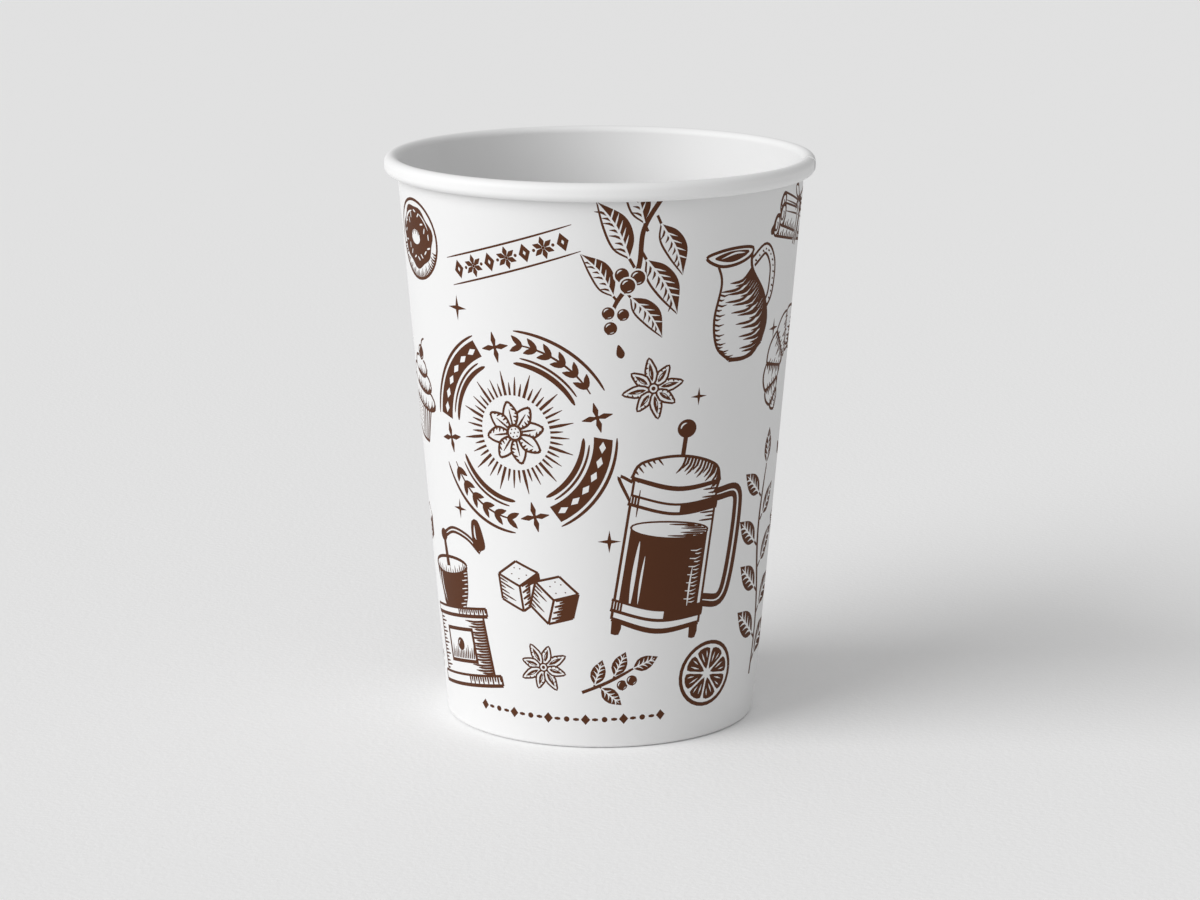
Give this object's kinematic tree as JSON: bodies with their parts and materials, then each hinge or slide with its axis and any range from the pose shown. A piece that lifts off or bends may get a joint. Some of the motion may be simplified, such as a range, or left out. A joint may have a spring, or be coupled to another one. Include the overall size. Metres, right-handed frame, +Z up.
{
  "type": "paper cup",
  "caption": "Tapered single-wall paper cup with a rolled rim, a lapped side seam and a recessed base held in a folded foot.",
  "frame": {"origin": "centre of the foot, on the surface that the cup stands on", "axes": "+Z up along the cup's axis, -Y towards the front of the print, +X towards the side seam"},
  "size_m": [0.073, 0.073, 0.097],
  "materials": {
    "printed_cup_board": "satin white coated board, printed in one dark brown",
    "base_board": "satin white coated board, unprinted"
  },
  "bodies": {
    "root": {"sidewall": "printed_cup_board", "base_disc": "base_board"}
  },
  "joints": []
}
